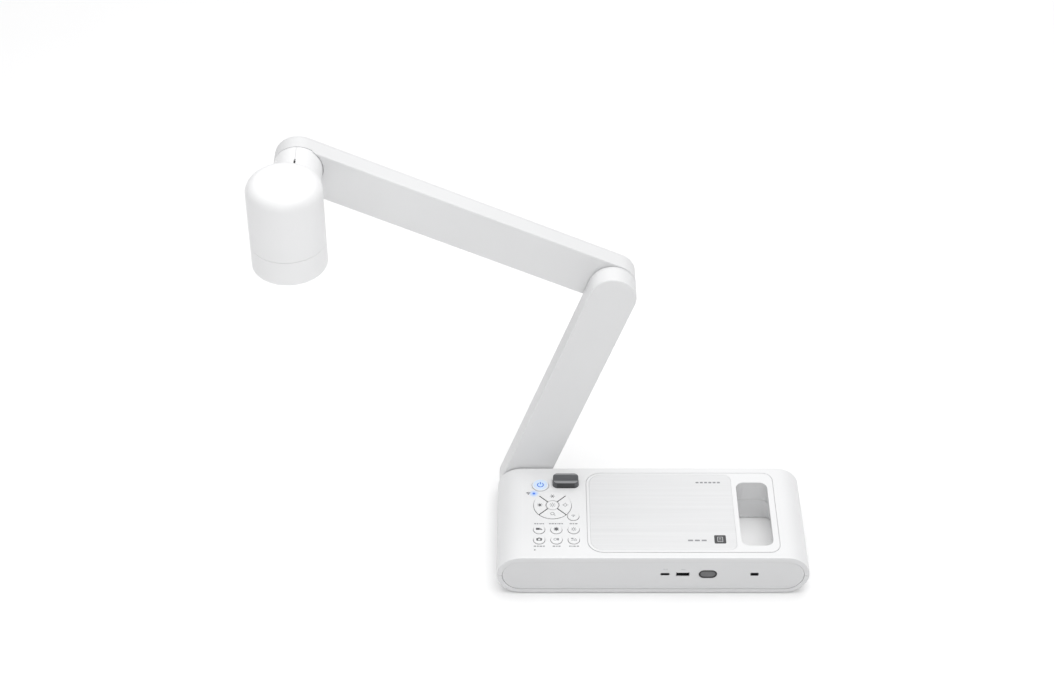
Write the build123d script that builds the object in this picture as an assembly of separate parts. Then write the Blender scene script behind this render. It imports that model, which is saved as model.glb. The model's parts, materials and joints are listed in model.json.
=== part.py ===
from build123d import *
import math
import os

# Desktop document camera: a flat base with stadium-shaped ends, two folding
# arms that lie side by side behind it, a round neck that reaches forward from
# the end of the upper arm, and a cylindrical camera head that rolls on it.
# Units are millimetres. +X to the right along the base, +Y to the back, +Z up.
# The origin is the middle of the whole camera's footprint, on the desk. The
# pieces are laid out round the centre of the base and moved there at the end.

# ---------------------------------------------------------------- dimensions
base_w = 300.0          # base length along X
base_d = 125.0          # base depth along Y
base_h = 47.5           # base height without feet
foot_h = 1.0            # how far the feet stand out below the casing
wall = 2.4              # casing wall
rim = 5.0               # width of the rim round each end plate
edge_r = 1.5            # rounding of the casing's front and rear edges
split_gap = 0.3         # parting line between the casings

arm_r = 22.4            # radius of the arms' round ends, half of the arm width
lower_t = 21.5          # thickness of the lower arm along Y
upper_t = 20.5          # thickness of the upper arm along Y
arm_gap = 1.0           # gap between neighbours along Y
elbow_xz = (-41.2, 263.6)
neck_xz = (-327.0, 396.5)

neck_r = 22.35
neck_y0, neck_y1 = 18.5, 88.2
slot_y0, slot_y1, slot_w = 25.0, 69.0, 1.8

head_r = 33.0
head_y = -19.5          # Y of the head's own axis
head_up, head_down = 64.3, 24.7   # from the roll axis to the top and to the lens end

shaft_r = 6.0
run_c = 0.05            # running clearance of the shafts
key_travel = 0.6        # push buttons
release_travel = 2.5    # arm release key

# ------------------------------------------------------------ derived values
R = base_h / 2
z0 = foot_h
zc = z0 + R
zt = z0 + base_h
hx, hz = -base_w / 2 + R, zc            # base hinge axis
yf, yr = -base_d / 2, base_d / 2
la0 = yr + arm_gap
la1 = la0 + lower_t
ua0 = la1 + arm_gap
ua1 = ua0 + upper_t
ex, ez = elbow_xz
nx, nz = neck_xz

LO = (Align.CENTER, Align.CENTER, Align.MIN)


def slab(sk, y0, y1):
    """A sketch drawn in X and Z, thickened along Y from y0 to y1."""
    return extrude(Plane((0, y0, 0), x_dir=(1, 0, 0), z_dir=(0, -1, 0)) * sk, amount=-(y1 - y0))


def plate(sk, za, zb):
    """A sketch drawn in X and Y, thickened along Z from za to zb."""
    return extrude(Plane((0, 0, za)) * sk, amount=zb - za)


def cy(x, z, r, y0, y1):
    return slab(Pos(x, z) * Circle(r), y0, y1)


def cz(x, y, r, za, zb):
    return Pos(x, y, za) * Cylinder(r, zb - za, align=LO)


def box(x0, x1, y0, y1, za, zb):
    return Pos((x0 + x1) / 2, (y0 + y1) / 2, (za + zb) / 2) * Box(x1 - x0, y1 - y0, zb - za)


def stadium(inset):
    return Pos(0, zc) * SlotOverall(base_w - 2 * inset, base_h - 2 * inset)


def arm_sketch(a, b, r):
    """Slot outline round two end centres."""
    ang = math.degrees(math.atan2(b[1] - a[1], b[0] - a[0]))
    length = math.hypot(b[0] - a[0], b[1] - a[1])
    return Pos((a[0] + b[0]) / 2, (a[1] + b[1]) / 2) * Rot(0, 0, ang) * SlotOverall(length + 2 * r, 2 * r)


def soft(shape, edges, r):
    try:
        return fillet(edges, r)
    except Exception:
        return shape


def at_y(shape, y, tol=0.01):
    return shape.edges().filter_by(lambda e: abs(e.bounding_box().min.Y - y) < tol and abs(e.bounding_box().max.Y - y) < tol)


def at_z(shape, z, tol=0.01):
    return shape.edges().filter_by(lambda e: abs(e.bounding_box().min.Z - z) < tol and abs(e.bounding_box().max.Z - z) < tol)


out = {}

# ============================================================ control layout
power_xy, power_r = (-107.8, 37.4), 8.2
nav_xy, nav_r, ok_r = (-96.1, 9.0), 18.4, 6.1
small_r = 5.5
menu_xy = (-76.0, -6.2)
grid_x = (-109.3, -92.7, -76.0)
grid_y = (-24.3, -38.1)
rel_xy, rel_wx, rel_wy = (-82.9, 41.05), 25.0, 14.6
led_xy, led_r = (-114.2, 25.8), 1.3
pin_xy = (-113.6, -51.2)
fit = 0.38              # gap round each button
lip = 0.22              # flange beyond the hole

# opening for the hand, right through the base
hand = dict(x0=84.8, x1=115.6, y0=-45.9, y1=41.1, r=8.0)
hand_lean = 8.0         # how far its outer wall leans out towards the bottom
hand_c = ((hand["x0"] + hand["x1"]) / 2, (hand["y0"] + hand["y1"]) / 2)
hand_s = (hand["x1"] - hand["x0"], hand["y1"] - hand["y0"])

# recess for the large inlay
inl = dict(x0=-62.6, x1=121.3, y0=-54.4, y1=54.6)
inlay_t = 1.3
groove = 0.6


def inlay_sketch(grow):
    x0, x1, y0, y1 = inl["x0"] - grow, inl["x1"] + grow, inl["y0"] - grow, inl["y1"] + grow
    rl, rr = 15.0 + grow, 10.0 + grow
    left = Pos((x0 + 20) / 2, (y0 + y1) / 2) * RectangleRounded(20 - x0, y1 - y0, rl)
    right = Pos((x1 - 20) / 2, (y0 + y1) / 2) * RectangleRounded(x1 + 20, y1 - y0, rr)
    mid = Pos(0, (y0 + y1) / 2) * Rectangle(20, y1 - y0)
    return left + right + mid


def hand_sketch(grow):
    return Pos(*hand_c) * RectangleRounded(hand_s[0] + 2 * grow, hand_s[1] + 2 * grow, hand["r"] + grow)


def hand_tunnel(grow, za, zb):
    """Opening for the hand: straight at the top, its outer wall leaning out below."""
    low = Pos(hand_c[0] + hand_lean / 2, hand_c[1], za) * RectangleRounded(hand_s[0] + hand_lean + 2 * grow, hand_s[1] + 2 * grow, hand["r"] + grow)
    high = Pos(hand_c[0], hand_c[1], zt - 4) * RectangleRounded(hand_s[0] + 2 * grow, hand_s[1] + 2 * grow, hand["r"] + grow)
    return loft([low.face(), high.face()]) + plate(hand_sketch(grow), zt - 4.0, zb)


# ================================================================ the casings
outer = slab(stadium(0), yf, yr)
outer = fillet(at_y(outer, yf) + at_y(outer, yr), edge_r)
inner = slab(stadium(wall), yf + 3.0, yr - 3.0)
ends = slab(stadium(rim), yf - 1, yf + 4) + slab(stadium(rim), yr - 4, yr + 1)
shell = outer - inner - ends
# the walls of the hand opening
tube = hand_tunnel(2.0, z0 - 1, zt - 0.5) & box(0, 200, -100, 100, z0 + 0.5, zt)
shell = shell + (tube & outer)
shell = shell - hand_tunnel(0, z0 - 1, zt + 1)

screw_xy = [(-125.0, -50.0), (-125.0, 10.0), (123.0, -50.0), (123.0, 50.0)]
feet_xy = [(-104.0, -52.0), (-104.0, 52.0), (100.0, -55.0), (100.0, 52.0)]
board_z, board_top = 20.6, 22.2
post_xy = [(-69.0, -50.0), (-69.0, 49.0), (77.0, -50.0), (77.0, 49.0)]

half_top = box(-200, 200, -100, 100, zc + split_gap / 2, 100)
half_bot = box(-200, 200, -100, 100, -20, zc - split_gap / 2)

upper = shell & half_top
for x, y in screw_xy:
    upper = upper + (cz(x, y, 3.5, zc + split_gap / 2, zt - 1.2) & outer)
# recess and ledge under the inlay
pad = plate(inlay_sketch(3.0), zt - inlay_t - 2.0, zt - 1.0) & outer
upper = upper + (pad - plate(hand_sketch(0), z0, zt + 1))
upper = upper - plate(inlay_sketch(groove), zt - inlay_t, zt + 1)
# holes for the controls
for (x, y), r in [(power_xy, power_r + fit), (nav_xy, nav_r + fit), (menu_xy, small_r + fit)]:
    upper = upper - cz(x, y, r, zt - 6, zt + 1)
for x in grid_x:
    for y in grid_y:
        upper = upper - cz(x, y, small_r + fit, zt - 6, zt + 1)
upper = upper - plate(Pos(*rel_xy) * RectangleRounded(rel_wx + 2 * fit, rel_wy + 2 * fit, 4.6 + fit), zt - 6, zt + 1)
upper = upper - cz(*led_xy, led_r, zt - 6, zt + 1) - cz(*pin_xy, 0.8, zt - 6, zt + 1)
for x, y in screw_xy:
    upper = upper - cz(x, y, 1.5, zc - 1, zt - 6)
out["base_upper_casing"] = upper

lower = shell & half_bot
for x, y in screw_xy:
    lower = lower + (cz(x, y, 4.2, z0 + 0.5, zc - split_gap / 2) & outer)
for x, y in post_xy:
    lower = lower + cz(x, y, 3.0, z0 + 1.2, board_z)
for x, y in screw_xy:
    lower = lower - cz(x, y, 3.2, z0 - 1, z0 + 3.0) - cz(x, y, 1.7, z0, zc + 1)
for x, y in feet_xy:
    lower = lower - cz(x, y, 5.5, z0 - 1, z0 + 1.2)
out["base_lower_casing"] = lower

out["casing_screws"] = Compound(children=[
    cz(x, y, 3.0, z0 + 0.9, z0 + 2.9) + cz(x, y, 1.5, z0 + 2.8, zc + 7) - cz(x, y, 1.2, z0 + 0.8, z0 + 1.8)
    for x, y in screw_xy])
feet = []
for x, y in feet_xy:
    f = cz(x, y, 5.5, 0, z0 + 1.2)
    feet.append(fillet(at_z(f, 0), 0.4))
out["rubber_feet"] = Compound(children=feet)

# ================================================================ end plates
port_z = 26.5
usb_c_x, usb_a_x, ir_x, lock_x = 11.2, 28.3, 52.3, 97.0


def slot_xz(x, z, w, h):
    return Pos(x, z) * SlotOverall(w, h)


def rect_xz(x, z, w, h, r=0.5):
    return Pos(x, z) * RectangleRounded(w, h, r)


face_f = slab(stadium(rim + 0.25), yf + 0.25, yf + 3.0)
face_f = soft(face_f, at_y(face_f, yf + 0.25), 0.4)
front = face_f + slab(stadium(wall + 0.2), yf + 3.0, yf + 4.8)
front = front - slab(slot_xz(usb_c_x, port_z, 9.2, 3.4), yf - 1, yf + 6)
front = front - slab(rect_xz(usb_a_x, port_z, 13.4, 5.6, 0.5), yf - 1, yf + 6)
front = front - slab(slot_xz(ir_x, port_z, 17.8, 10.8), yf - 1, yf + 6)
front = front - slab(rect_xz(lock_x, port_z, 8.0, 4.0, 1.0), yf - 1, yf + 6)
out["front_plate"] = front

dc_x, video_x = 62.0, 34.0
face_r = slab(stadium(rim + 0.25), yr - 3.0, yr - 0.25)
face_r = soft(face_r, at_y(face_r, yr - 0.25), 0.4)
rear = face_r + slab(stadium(wall + 0.2), yr - 4.8, yr - 3.0)
rear = rear - cy(hx, hz, 12.0, yr - 6, yr + 1)
rear = rear - cy(dc_x, port_z, 4.2, yr - 6, yr + 1)
rear = rear - slab(rect_xz(video_x, port_z, 15.4, 5.8, 0.8), yr - 6, yr + 1)
out["rear_plate"] = rear

# =================================================================== sockets
usb_c = slab(slot_xz(usb_c_x, port_z, 9.0, 3.2), yf + 0.5, yf + 8.6)
usb_c = usb_c + box(usb_c_x - 4.5, usb_c_x + 4.5, yf + 5.0, yf + 14, board_top, port_z + 1.6)
usb_c = usb_c - slab(slot_xz(usb_c_x, port_z, 8.3, 2.5), yf, yf + 7.5)
usb_c = usb_c + box(usb_c_x - 3.3, usb_c_x + 3.3, yf + 1.6, yf + 8, port_z - 0.35, port_z + 0.35)
out["usb_c_port"] = usb_c

usb_a = slab(rect_xz(usb_a_x, port_z, 13.2, 5.4, 0.4), yf + 0.5, yf + 16)
usb_a = usb_a + box(usb_a_x - 6.6, usb_a_x + 6.6, yf + 8, yf + 16, board_top, port_z)
usb_a = usb_a - slab(rect_xz(usb_a_x, port_z, 12.5, 4.6, 0.3), yf, yf + 13)
usb_a = usb_a + box(usb_a_x - 5.5, usb_a_x + 5.5, yf + 1.8, yf + 14, port_z + 0.4, port_z + 2.0)
out["usb_a_port"] = usb_a

ir = slab(slot_xz(ir_x, port_z, 17.6, 10.6), yf, yf + 4.6)
ir = soft(ir, at_y(ir, yf), 0.5)
ir = ir - slab(slot_xz(ir_x, port_z, 14.6, 7.8), yf - 1, yf + 1.4)
out["receiver_bezel"] = ir
irw = slab(slot_xz(ir_x, port_z, 14.5, 7.7), yf + 0.3, yf + 1.4)
irw = soft(irw, at_y(irw, yf + 0.3), 0.3)
out["receiver_window"] = irw

lock = slab(rect_xz(lock_x, port_z, 7.8, 3.8, 0.9), yf + 0.1, yf + 2.8) + box(lock_x - 7, lock_x + 7, yf + 4.8, yf + 7.2, port_z - 6, port_z + 6)
lock = lock + slab(rect_xz(lock_x, port_z, 7.8, 3.8, 0.9), yf + 2.7, yf + 4.9)
lock = lock - slab(rect_xz(lock_x, port_z, 6.6, 2.6, 0.6), yf - 1, yf + 8)
out["lock_slot_insert"] = lock

dc = cy(dc_x, port_z, 4.1, yr - 14, yr - 0.4) + box(dc_x - 4.4, dc_x + 4.4, yr - 15, yr - 4.9, board_top, port_z + 4.1)
dc = dc - cy(dc_x, port_z, 3.1, yr - 11, yr + 1) + cy(dc_x, port_z, 0.9, yr - 12, yr - 2.5)
vid = slab(rect_xz(video_x, port_z, 15.2, 5.6, 0.7), yr - 13, yr - 0.4)
vid = vid - slab(rect_xz(video_x, port_z, 14.2, 4.6, 0.5), yr - 11, yr + 1)
vid = vid + box(video_x - 5.6, video_x + 5.6, yr - 12, yr - 2.2, port_z - 0.6, port_z + 0.6)
vid = vid + box(video_x - 7.6, video_x + 7.6, yr - 15, yr - 4.9, board_top, port_z - 2.6)
out["rear_sockets"] = Compound(children=[dc, vid])

# ================================================== boards, ballast and brace
board = box(-73.0, 81.0, -54.0, 53.0, board_z, board_top)
for x, y in post_xy:
    board = board - cz(x, y, 1.4, 20, 24)
board = board + box(-30, -4, -12, 14, board_top - 0.1, 25.2) + box(14, 34, -8, 12, board_top - 0.1, 24.6) + box(-56, -44, 18, 30, board_top - 0.1, 26.0)
board = board + cz(-50, -20, 4.0, board_top - 0.1, 31.0) + cz(-38, -20, 4.0, board_top - 0.1, 31.0)
out["main_board"] = board
out["ballast_plate"] = box(-62.0, 70.0, -46.0, 45.0, z0 + wall, z0 + wall + 9.0)

# ================================================================== the keys
mem = box(-119.0, -67.5, -47.5, 50.0, 41.2, 42.2)
keys = {"power": power_xy, "menu": menu_xy, "ok": nav_xy}
nav_off = 12.8
keys["up"] = (nav_xy[0], nav_xy[1] + nav_off)
keys["down"] = (nav_xy[0], nav_xy[1] - nav_off)
keys["left"] = (nav_xy[0] - nav_off, nav_xy[1])
keys["right"] = (nav_xy[0] + nav_off, nav_xy[1])
for i, x in enumerate(grid_x):
    for j, y in enumerate(grid_y):
        keys["g%d%d" % (i, j)] = (x, y)
rel_stem = box(rel_xy[0] - 4.6, rel_xy[0] + 4.6, rel_xy[1] - 3.1, rel_xy[1] + 3.1, 30, 50)
kb = box(-119.0, -67.5, -47.5, 50.0, 39.6, 41.2) - rel_stem
mem = mem - rel_stem - box(rel_xy[0] - rel_wx / 2 - 2.2, -60, rel_xy[1] - rel_wy / 2 - 2.2, 60, 40, 44)
for k, (x, y) in keys.items():
    mem = mem + cz(x, y, 2.6, 42.0, 43.2)
out["keypad_board"] = kb
out["keypad_membrane"] = mem

zb = zt - wall          # underside of the top wall
cap_z = zt + 0.9        # top of the caps


def round_key(xy, r, top=cap_z):
    cap = cz(xy[0], xy[1], r, zb - 1.3, top)
    cap = fillet(at_z(cap, top), 0.45)
    cap = cap + cz(xy[0], xy[1], r + fit + lip, zb - 1.4, zb - 0.1) + cz(xy[0], xy[1], 2.2, 43.8, zb - 1.0)
    return cap


# power button with a clear light ring round its icon
pb = cz(*power_xy, power_r, zb - 1.3, cap_z)
pb = fillet(at_z(pb, cap_z), 0.45)
pb = pb + cz(*power_xy, power_r + fit + lip, zb - 1.4, zb - 0.1) + cz(*power_xy, 2.2, 43.8, zb - 1.0)
ring_sk = Pos(*power_xy) * (Circle(6.7) - Circle(5.7))
pb = pb - plate(ring_sk, cap_z - 1.2, cap_z + 1)
out["power_button"] = pb
out["power_light_ring"] = plate(ring_sk, cap_z - 1.2, cap_z - 0.05)

out["menu_button"] = round_key(menu_xy, small_r)
names = {"g00": "button_upper_left", "g10": "button_upper_middle", "g20": "button_upper_right",
         "g01": "button_lower_left", "g11": "button_lower_middle", "g21": "button_lower_right"}
for k, n in names.items():
    out[n] = round_key(keys[k], small_r)

ok = cz(*nav_xy, ok_r, zb - 1.3, cap_z)
ok = fillet(at_z(ok, cap_z), 0.5)
ok = ok + cz(*nav_xy, 2.2, 43.8, zb - 1.0)
out["ok_button"] = ok
ring = Circle(nav_r) - Circle(ok_r + 0.55)
for name, a in (("right", 0), ("up", 90), ("left", 180), ("down", 270)):
    wedge = make_face(Polyline((0.75, 0), (30, 29.25), (30, -29.25), (0.75, 0)))
    sector = ring & wedge
    key = plate(Pos(*nav_xy) * Rot(0, 0, a) * sector, zb - 1.3, cap_z)
    key = soft(key, at_z(key, cap_z), 0.4)
    sx, sy = keys[name]
    key = key + cz(sx, sy, 2.2, 43.8, zb - 1.0)
    flange = (Circle(nav_r + fit + lip) - Circle(nav_r - 2.0)) & make_face(Polyline((4.0, 0), (30, 22.0), (30, -22.0), (4.0, 0)))
    key = key + plate(Pos(*nav_xy) * Rot(0, 0, a) * flange, zb - 1.3, zb - 0.1)
    out["nav_%s_key" % name] = key

# raised arm release key and the latch under it
rk_top = zt + 6.5
rk = plate(Pos(*rel_xy) * RectangleRounded(rel_wx, rel_wy, 4.6), zb - 1.6, rk_top)
rk = soft(rk, at_z(rk, rk_top), 0.9)
# shallow finger dish along the top, between two ridges
rk = rk - Pos(rel_xy[0], rel_xy[1] + 0.6, rk_top + 17.3) * Rot(0, 90, 0) * Cylinder(18.0, rel_wx + 5.0)
rk = rk + plate(Pos(*rel_xy) * RectangleRounded(rel_wx + 2 * (fit + lip), rel_wy + 2 * (fit + lip), 5.0), zb - 1.9, zb - 0.1)
rk = rk + box(rel_xy[0] - 4.0, rel_xy[0] + 4.0, rel_xy[1] - 2.5, rel_xy[1] + 2.5, 34.0, zb - 1.5)
out["release_key"] = rk
latch = box(-110.8, rel_xy[0] + 4.0, 40.6, 44.4, 30.0, 34.0)
out["release_latch"] = latch

out["status_lamp"] = cz(*led_xy, led_r, 43.5, zt + 0.15)

# ============================================================= inlay and sheet
sheet = dict(x0=-59.8, x1=80.2, y0=-51.8, y1=52.0)
sheet_c = ((sheet["x0"] + sheet["x1"]) / 2, (sheet["y0"] + sheet["y1"]) / 2)


def sheet_sketch(grow):
    w, h = sheet["x1"] - sheet["x0"] + 2 * grow, sheet["y1"] - sheet["y0"] + 2 * grow
    left = Pos(sheet_c[0] - w / 4, sheet_c[1]) * RectangleRounded(w / 2, h, 12.5 + grow)
    right = Pos(sheet_c[0] + w / 4, sheet_c[1]) * RectangleRounded(w / 2, h, 7.5 + grow)
    return left + right + Pos(*sheet_c) * Rectangle(w / 2, h)


inlay = plate(inlay_sketch(0), zt - inlay_t, zt + 0.3)
inlay = soft(inlay, at_z(inlay, zt + 0.3), 0.3)
inlay = inlay - plate(hand_sketch(-0.0), zt - 5, zt + 2)
inlay = inlay - plate(sheet_sketch(0.15), zt - 0.3, zt + 2)
out["top_inlay"] = inlay
sh = plate(sheet_sketch(0), zt - 0.3, zt + 0.35)
out["brushed_sheet"] = soft(sh, at_z(sh, zt + 0.35), 0.15)

# ============================================================== base hinge
brk = slab(Pos(hx + 2, hz) * RectangleRounded(34, 40, 5.0), 48.0, 56.0)
brk = brk + box(hx + 2 - 15, hx + 2 + 15, 22.0, 56.0, z0 + wall, z0 + wall + 3.0)
brk = brk - cy(hx, hz, 9.0, 40, 60)
brk = brk & slab(stadium(wall), 20.0, 58.0) & box(-200, 0, 0, 100, 0, 38.5)
out["hinge_bracket"] = brk
out["hinge_bush"] = cy(hx, hz, 9.0, 46.5, 58.0) + cy(hx, hz, 11.0, 56.0, 58.0) - cy(hx, hz, shaft_r + run_c, 40, 60)
disc = cy(hx, hz, 15.0, 40.2, 44.8)
for i in range(24):
    a = math.radians(15 * i + 7.5)
    disc = disc - cy(hx + 15.4 * math.cos(a), hz + 15.4 * math.sin(a), 1.2, 39, 46)
sh1 = cy(hx, hz, shaft_r, 38.0, 80.0) + cy(hx, hz, 10.0, 58.4, 69.5) + cy(hx, hz, 9.5, 78.0, 80.0)
sh1 = sh1 + disc + cy(hx, hz, 9.0, 36.0, 39.5)
out["base_hinge_shaft"] = sh1


# ==================================================================== arms
def covers(a, b, y0, y1, name, lip_t=2.2):
    full = slab(arm_sketch(a, b, arm_r), y0, y1)
    full = fillet(at_y(full, y0), 1.3)
    full = fillet(at_y(full, y1), 2.2)
    split = y1 - 3.2
    cav = slab(arm_sketch(a, b, arm_r - lip_t), y0 + lip_t, y1 - 2.0)
    front_c = (full - cav) & box(-500, 300, y0 - 1, split, -100, 600)
    rear_c = (full - cav) & box(-500, 300, split + 0.2, y1 + 1, -100, 600)
    # centring lip of the rear cover inside the front one
    lip_s = slab(arm_sketch(a, b, arm_r - lip_t - 0.15), split - 2.0, y1 - 1.9) - slab(arm_sketch(a, b, arm_r - lip_t - 1.75), split - 3, y1)
    rear_c = rear_c + lip_s
    return front_c, rear_c


A0, A1 = (hx, hz), (ex, ez)
lf, lr = covers(A0, A1, la0, la1, "lower")
lf = lf - cy(hx, hz, 12.0, la0 - 1, la0 + 6)
lr = lr - cy(ex, ez, 12.0, la1 - 8, la1 + 1)
ua_dir = math.atan2(nz - ez, nx - ex)
la_dir = math.atan2(ez - hz, ex - hx)
B0, B1 = (ex, ez), (nx, nz)
uf, ur = covers(B0, B1, ua0, ua1, "upper")
uf = uf + slab(arm_sketch((nx - 3 * math.cos(ua_dir), nz - 3 * math.sin(ua_dir)), B1, arm_r - 2.0), 88.0, 91.0)
uf = uf - cy(nx, nz, arm_r + 0.5, ua0 - 1, ua0 + 2.6)
uf = uf - cy(ex, ez, 12.0, ua0 - 1, ua0 + 6) - cy(nx, nz, 12.0, ua0 - 1, ua0 + 6)


def along(a, ang, d, s=0.0):
    return (a[0] + d * math.cos(ang) - s * math.sin(ang), a[1] + d * math.sin(ang) + s * math.cos(ang))


lower_screws = [along(A0, la_dir, d, s) for d, s in ((24, 0), (96, 0), (168, 0))]
upper_screws = [along(B0, ua_dir, d, s) for d, s in ((40, 0), (158, 0), (275, 0))]


def screw_y(p, y_head, y_end):
    return cy(p[0], p[1], 3.0, y_head - 2.0, y_head) + cy(p[0], p[1], 1.5, y_end, y_head - 1.9) - cy(p[0], p[1], 1.2, y_head - 0.9, y_head + 1)


fr0, fr1 = 70.0, 78.0
lframe = slab(arm_sketch(A0, A1, 13.0), fr0, fr1)
lframe = lframe - slab(arm_sketch(along(A0, la_dir, 34), along(A0, la_dir, 84), 7.0), fr0 - 1, fr1 + 1)
lframe = lframe - slab(arm_sketch(along(A0, la_dir, 108), along(A0, la_dir, 156), 7.0), fr0 - 1, fr1 + 1)
lframe = lframe - slab(arm_sketch(along(A0, la_dir, 180), along(A0, la_dir, 222), 7.0), fr0 - 1, fr1 + 1)
lframe = lframe + cy(ex, ez, 10.0, 67.5, 80.0) - cy(hx, hz, shaft_r, 60, 90) - cy(ex, ez, shaft_r + run_c, 60, 90)
for p in lower_screws:
    lr = lr + cy(p[0], p[1], 4.0, fr1, la1 - 1.9) - cy(p[0], p[1], 3.0, la1 - 2.4, la1 + 1) - cy(p[0], p[1], 1.6, 70, la1)
    lframe = lframe - cy(p[0], p[1], 1.5, 60, 90)
out["lower_arm_front_cover"] = lf
out["lower_arm_rear_cover"] = lr
out["lower_arm_frame"] = lframe
out["lower_arm_screws"] = Compound(children=[screw_y(p, la1 - 0.4, fr0 + 1) for p in lower_screws])

ur0, ur1 = 92.0, 99.5
uframe = slab(arm_sketch(B0, B1, 13.0), ur0, ur1)
for d0, d1 in ((52, 96), (112, 146), (172, 216), (232, 262)):
    uframe = uframe - slab(arm_sketch(along(B0, ua_dir, d0), along(B0, ua_dir, d1), 7.0), ur0 - 1, ur1 + 1)
uframe = uframe + cy(nx, nz, 10.0, 91.4, 101.0) - cy(ex, ez, shaft_r, 85, 105) - cy(nx, nz, shaft_r + run_c, 85, 105)
for p in upper_screws:
    ur = ur + cy(p[0], p[1], 4.0, ur1, ua1 - 1.9) - cy(p[0], p[1], 3.0, ua1 - 2.4, ua1 + 1) - cy(p[0], p[1], 1.6, 90, ua1)
    uframe = uframe - cy(p[0], p[1], 1.5, 85, 105)
out["upper_arm_front_cover"] = uf
out["upper_arm_rear_cover"] = ur
out["upper_arm_frame"] = uframe
out["upper_arm_screws"] = Compound(children=[screw_y(p, ua1 - 0.4, ur0 + 1) for p in upper_screws])
sh2 = cy(ex, ez, shaft_r, 66.2, 101.5) + cy(ex, ez, 10.0, 80.4, 92.0) + cy(ex, ez, 9.5, 99.5, 101.5)
out["elbow_shaft"] = sh2

# ==================================================================== neck
nshell = cy(nx, nz, neck_r, neck_y0, neck_y1)
nshell = fillet(at_y(nshell, neck_y0) + at_y(nshell, neck_y1), 0.6)
nshell = nshell - cy(nx, nz, neck_r - 2.2, neck_y0 + 2.4, neck_y1 - 2.4)
nshell = nshell - cy(nx, nz, 11.2, neck_y0 - 1, neck_y1 + 1)
nshell = nshell - slab(Pos(nx, nz + neck_r) * Rectangle(slot_w, 8.0), slot_y0, slot_y1)
# small round dimples over the screws that hold the halves
for y in (80.0, 59.2, 27.0):
    for s in (-1, 1):
        a = math.radians(90 - 54 * s)
        px, pz = nx + neck_r * math.cos(a), nz + neck_r * math.sin(a)
        nshell = nshell - Pos(px, y, pz) * Sphere(1.15)
out["neck_left_shell"] = nshell & box(nx - 60, nx - 0.1, -50, 120, 300, 500)
out["neck_right_shell"] = nshell & box(nx + 0.1, nx + 60, -50, 120, 300, 500)
core = cy(nx, nz, 15.5, 24.0, 84.0) + cy(nx, nz, 10.0, 83.0, 91.0) + cy(nx, nz, shaft_r, 90.0, 103.2) + cy(nx, nz, 9.5, 101.4, 103.2)
core = core - cy(nx, nz, shaft_r + run_c, 23, 42) - cy(nx, nz, 6.6, 41.9, 78)
out["neck_core"] = core

# ==================================================================== head
hout = cz(nx, head_y, head_r, nz - head_down, nz + head_up)
hout = fillet(at_z(hout, nz + head_up), 12.5)
hout = fillet(at_z(hout, nz - head_down), 1.6)
hin = cz(nx, head_y, head_r - 2.4, nz - head_down + 4.2, nz + head_up - 2.4)
hin = fillet(at_z(hin, nz + head_up - 2.4), 10.2)
hsh = hout - hin
collar_hole = cy(nx, nz, neck_r - 0.05, head_y + 8, head_y + 60)
hsh = hsh - collar_hole
face_r = head_r - 2.0
hsh = hsh - cz(nx, head_y, face_r, nz - head_down - 1, nz - head_down + 2.6) - cz(nx, head_y, face_r - 2.0, nz - head_down, nz - head_down + 5)
out["head_top_shell"] = hsh & box(nx - 60, nx + 60, -80, 60, nz + 0.15, nz + 100)
out["head_lower_shell"] = hsh & box(nx - 60, nx + 60, -80, 60, nz - 60, nz - 0.15)

col = cy(nx, nz, neck_r - 0.15, head_y + 8, 18.0)
col = fillet(at_y(col, 18.0), 0.6)
col = col - cz(nx, head_y, head_r - 2.3, nz - 60, nz + 80)
col = col - cy(nx, nz, 10.0, -40, 30)
out["head_collar"] = col
lens_x, lens_y = nx, head_y - 2.0
rsh = cy(nx, nz, shaft_r, 4.0, 41.0) + cy(nx, nz, 10.0, 8.0, 23.6)
out["roll_shaft"] = rsh
hz0 = nz - head_down
hfr = box(nx - 15, nx + 15, 0.0, 4.0, nz - 14, nz + 30) + box(nx - 15, nx + 15, head_y - 20, 4.0, nz + 26, nz + 30)
hfr = hfr - cz(lens_x, lens_y, 9.0, nz + 20, nz + 40)
out["head_frame"] = hfr
face = cz(nx, head_y, face_r - 0.15, hz0 + 0.4, hz0 + 2.5)
face = fillet(at_z(face, hz0 + 0.4), 0.4)
lamp_y = head_y + 20.5
face = face - cz(lens_x, lens_y, 12.2, hz0 - 1, hz0 + 4)
face = face - plate(Pos(nx, lamp_y) * SlotOverall(22.0, 7.0), hz0 - 1, hz0 + 4)
out["lens_face_plate"] = face
out["lens_window"] = cz(lens_x, lens_y, 12.1, hz0 + 0.9, hz0 + 2.4)
bar = cz(lens_x, lens_y, 14.0, hz0 + 2.6, nz + 12) + cz(lens_x, lens_y, 11.0, nz + 11.9, nz + 26)
bar = bar - cz(lens_x, lens_y, 10.0, hz0 + 2, nz + 8) - cz(lens_x, lens_y, 7.0, nz + 7, nz + 27)
out["lens_barrel"] = bar
out["sensor_board"] = box(nx - 14, nx + 14, lens_y - 13, lens_y + 13, nz + 30.0, nz + 31.6)
out["lamp_window"] = plate(Pos(nx, lamp_y) * SlotOverall(21.8, 6.8), hz0 + 0.6, hz0 + 2.4)

# ================================================================== export
os.makedirs("parts", exist_ok=True)
ox = -((nx - head_r) + base_w / 2) / 2
oy = -(yf + ua1) / 2
for name, shape in out.items():
    solids = [s.moved(Location((ox, oy, 0))) for s in shape.solids()]
    export_step(solids[0] if len(solids) == 1 else Compound(children=solids), "parts/" + name + ".step")
print("origin moved by", ox, oy)
print(len(out), "pieces")
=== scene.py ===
"""Looks of a desktop document camera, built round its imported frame. Metres, +Z up."""
import json
import math

import bmesh
import bpy
from mathutils import Matrix, Vector


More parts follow.
